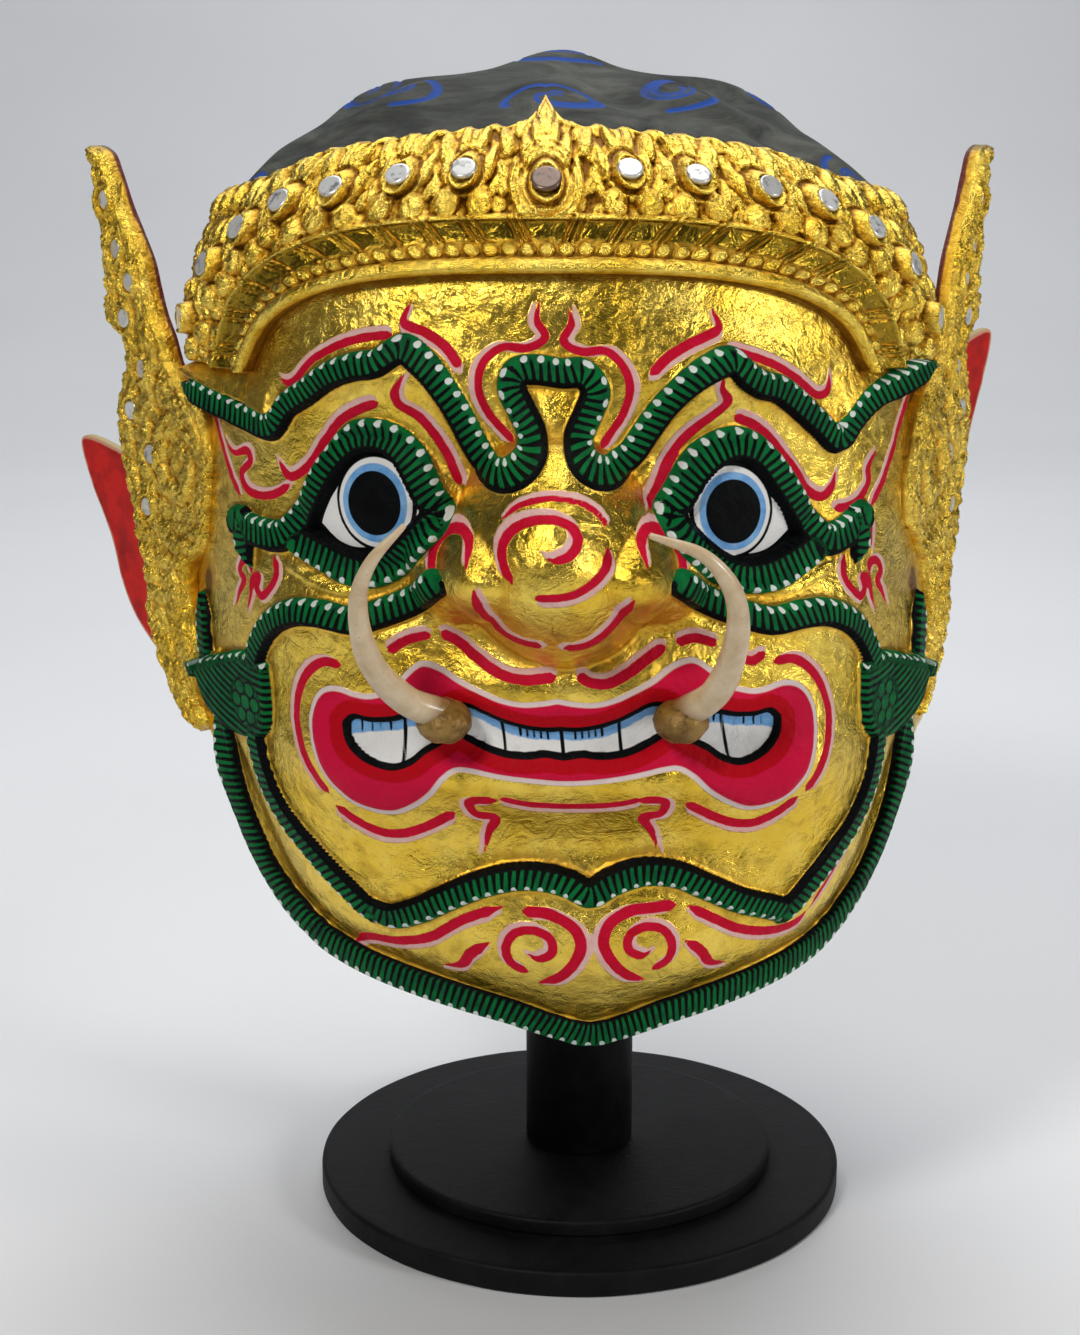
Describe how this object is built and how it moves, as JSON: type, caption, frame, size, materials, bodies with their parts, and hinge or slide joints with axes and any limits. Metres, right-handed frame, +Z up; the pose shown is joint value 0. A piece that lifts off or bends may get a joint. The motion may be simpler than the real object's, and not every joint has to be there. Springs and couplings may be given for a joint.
{
  "type": "thai khon mask of a demon on a display stand",
  "caption": "Gilded papier-mache demon dance mask with a diadem, ear flames, tusks and small mirrors, resting on a turned black stand",
  "frame": {"origin": "centre of the stand's underside, on the post's axis", "axes": "+Z up along the post, the face looks along -Y, +X to the viewer's right"},
  "size_m": [0.3002, 0.2723, 0.3639],
  "materials": {
    "black_wood": "matte black paint over turned wood",
    "gilded_papier_mache": "gold leaf on papier-mache, painted green, crimson, pink, white and black",
    "gilded_lacquer": "gold leaf over moulded lacquer relief with brown toner in the recesses",
    "gilded_leather": "gold leaf over leather and lacquer relief",
    "red_leather": "red painted leather with a pale cut edge",
    "tusk_ivory": "pale ivory-coloured resin, browned at the root",
    "socket_lacquer": "brown-gold lacquer lump",
    "mirror_glass": "small round mirrors"
  },
  "bodies": {
    "root": {"stand_base": "black_wood", "stand_step": "black_wood", "stand_post": "black_wood", "mask_shell": "gilded_papier_mache", "crown_band": "gilded_lacquer", "ear_flame_left": "gilded_leather", "ear_flame_right": "gilded_leather", "ear_wing_left": "red_leather", "ear_wing_right": "red_leather", "tusk_left": "tusk_ivory", "tusk_right": "tusk_ivory", "tusk_socket_left": "socket_lacquer", "tusk_socket_right": "socket_lacquer", "crown_mirror_1": "mirror_glass", "crown_mirror_2": "mirror_glass", "crown_mirror_3": "mirror_glass", "crown_mirror_4": "mirror_glass", "crown_mirror_5": "mirror_glass", "crown_mirror_6": "mirror_glass", "crown_mirror_7": "mirror_glass", "crown_mirror_8": "mirror_glass", "crown_mirror_9": "mirror_glass", "crown_mirror_10": "mirror_glass", "crown_mirror_11": "mirror_glass", "crown_mirror_12": "mirror_glass", "crown_mirror_13": "mirror_glass", "crown_mirror_14": "mirror_glass", "crown_mirror_15": "mirror_glass", "ear_mirror_left_1": "mirror_glass", "ear_mirror_left_2": "mirror_glass", "ear_mirror_left_3": "mirror_glass", "ear_mirror_left_4": "mirror_glass", "ear_mirror_left_5": "mirror_glass", "ear_mirror_left_6": "mirror_glass", "ear_mirror_left_7": "mirror_glass", "ear_mirror_left_8": "mirror_glass", "ear_mirror_right_1": "mirror_glass", "ear_mirror_right_2": "mirror_glass", "ear_mirror_right_3": "mirror_glass", "ear_mirror_right_4": "mirror_glass", "ear_mirror_right_5": "mirror_glass", "ear_mirror_right_6": "mirror_glass", "ear_mirror_right_7": "mirror_glass", "ear_mirror_right_8": "mirror_glass"}
  },
  "joints": []
}
